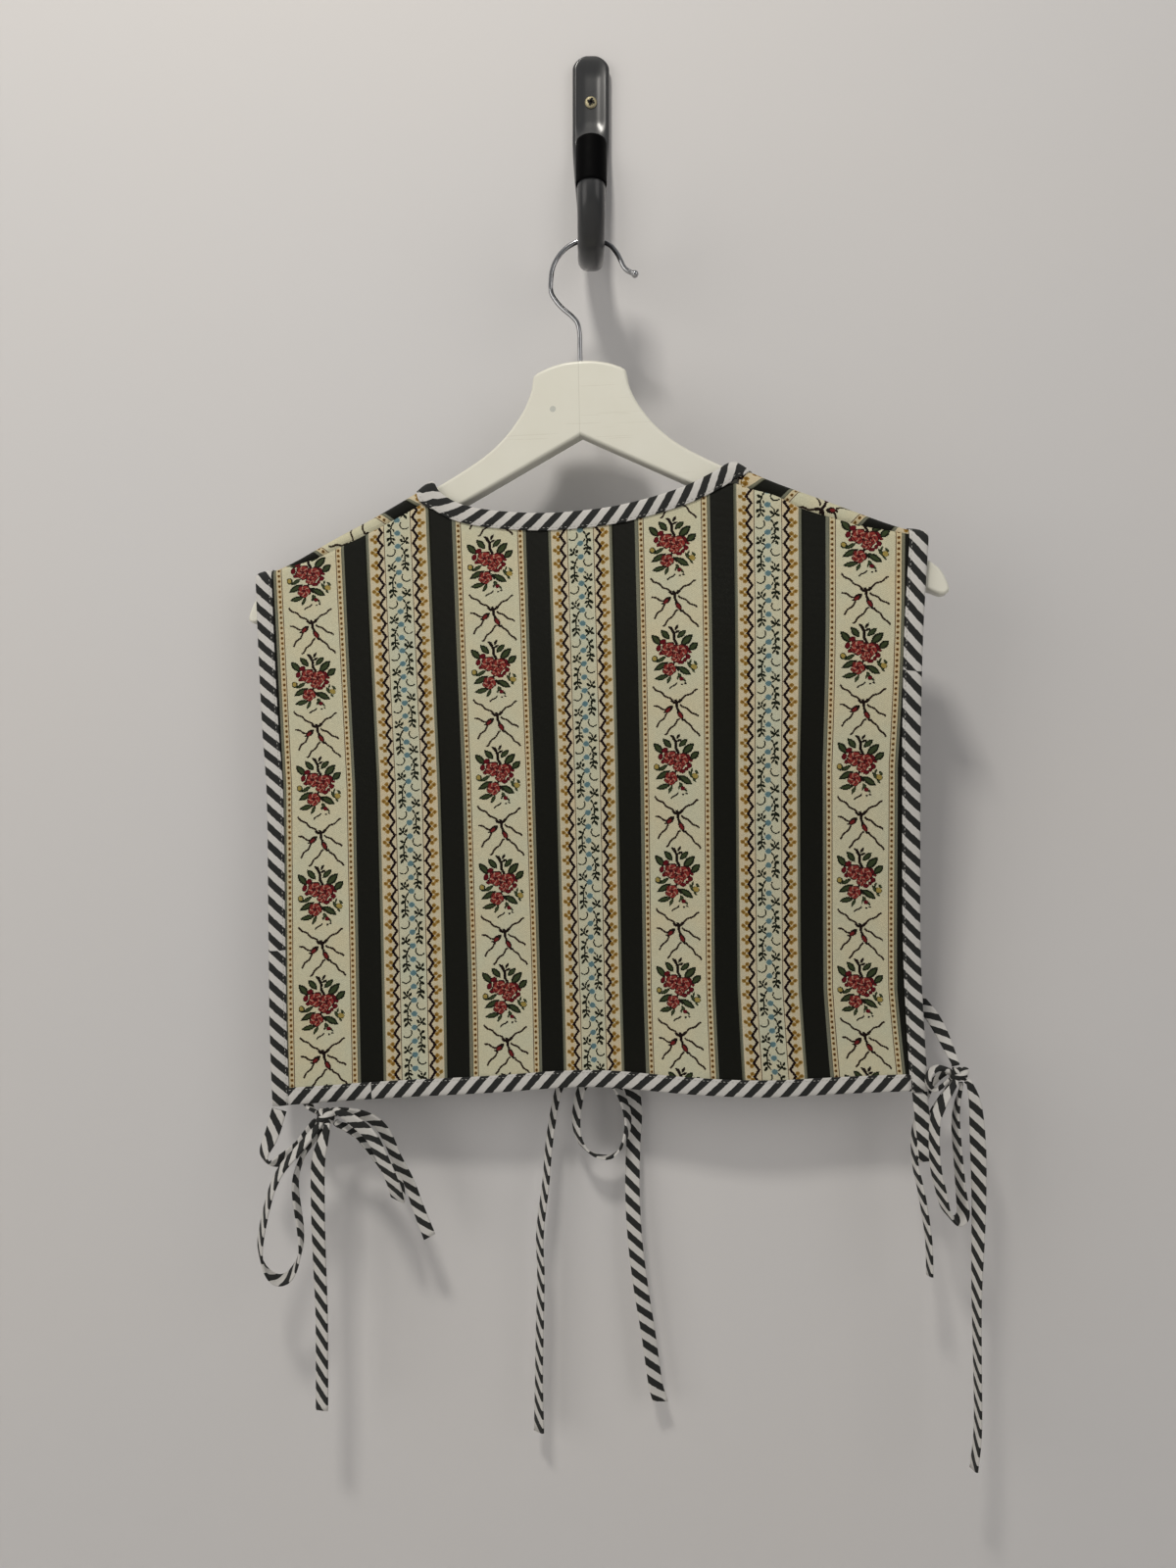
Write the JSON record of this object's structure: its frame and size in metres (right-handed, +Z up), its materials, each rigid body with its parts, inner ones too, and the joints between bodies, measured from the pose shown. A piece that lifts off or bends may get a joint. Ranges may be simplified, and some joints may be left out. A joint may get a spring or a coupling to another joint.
{
  "type": "waistcoat on a hanger and a wall hook",
  "caption": "Cropped sleeveless costume waistcoat of striped floral jacquard, bound and tied with bias tape, on a flat hanger hung from a wall hook.",
  "frame": {"origin": "on the flat back of the wall hook's plate, on its centre line, 14 mm below the screw", "axes": "+Z up, -Y into the room away from the wall, +X to the right seen from the room"},
  "size_m": [0.4641, 0.0856, 0.903],
  "materials": {
    "striped_jacquard": "woven, matte, satin stripes",
    "striped_bias_tape": "cotton, matte",
    "white_lacquered_wood": "lacquered, satin",
    "chromed_wire": "polished",
    "enamelled_steel": "glossy enamel",
    "black_rubber": "satin",
    "zinc_plated_steel": "yellow zinc"
  },
  "bodies": {
    "root": {"wall_hook": "enamelled_steel", "hook_tip_cap": "black_rubber", "wall_screw": "zinc_plated_steel", "hanger_body": "white_lacquered_wood", "hanger_hook": "chromed_wire", "hanger_hook_ball": "chromed_wire", "back_panel": "striped_jacquard", "front_panel_left": "striped_jacquard", "front_panel_right": "striped_jacquard", "back_neck_binding": "striped_bias_tape", "back_hem_binding": "striped_bias_tape", "back_side_binding_left": "striped_bias_tape", "front_side_binding_left": "striped_bias_tape", "front_hem_binding_left": "striped_bias_tape", "front_neck_binding_left": "striped_bias_tape", "front_edge_binding_left": "striped_bias_tape", "back_side_binding_right": "striped_bias_tape", "front_side_binding_right": "striped_bias_tape", "front_hem_binding_right": "striped_bias_tape", "front_neck_binding_right": "striped_bias_tape", "front_edge_binding_right": "striped_bias_tape", "tie_left_strap_back": "striped_bias_tape", "tie_left_strap_front": "striped_bias_tape", "tie_left_loop_long": "striped_bias_tape", "tie_left_tail_long": "striped_bias_tape", "tie_left_loop_short": "striped_bias_tape", "tie_left_tail_short": "striped_bias_tape", "tie_centre_strap_left": "striped_bias_tape", "tie_centre_strap_right": "striped_bias_tape", "tie_centre_tail_left": "striped_bias_tape", "tie_centre_loop": "striped_bias_tape", "tie_centre_tail_right": "striped_bias_tape", "tie_right_strap_back": "striped_bias_tape", "tie_right_strap_front": "striped_bias_tape", "tie_right_loop_small": "striped_bias_tape", "tie_right_loop_long": "striped_bias_tape", "tie_right_tail_long": "striped_bias_tape", "tie_right_tail_short": "striped_bias_tape", "tie_left_knot": "striped_bias_tape", "tie_centre_knot": "striped_bias_tape", "tie_right_knot": "striped_bias_tape"}
  },
  "joints": []
}
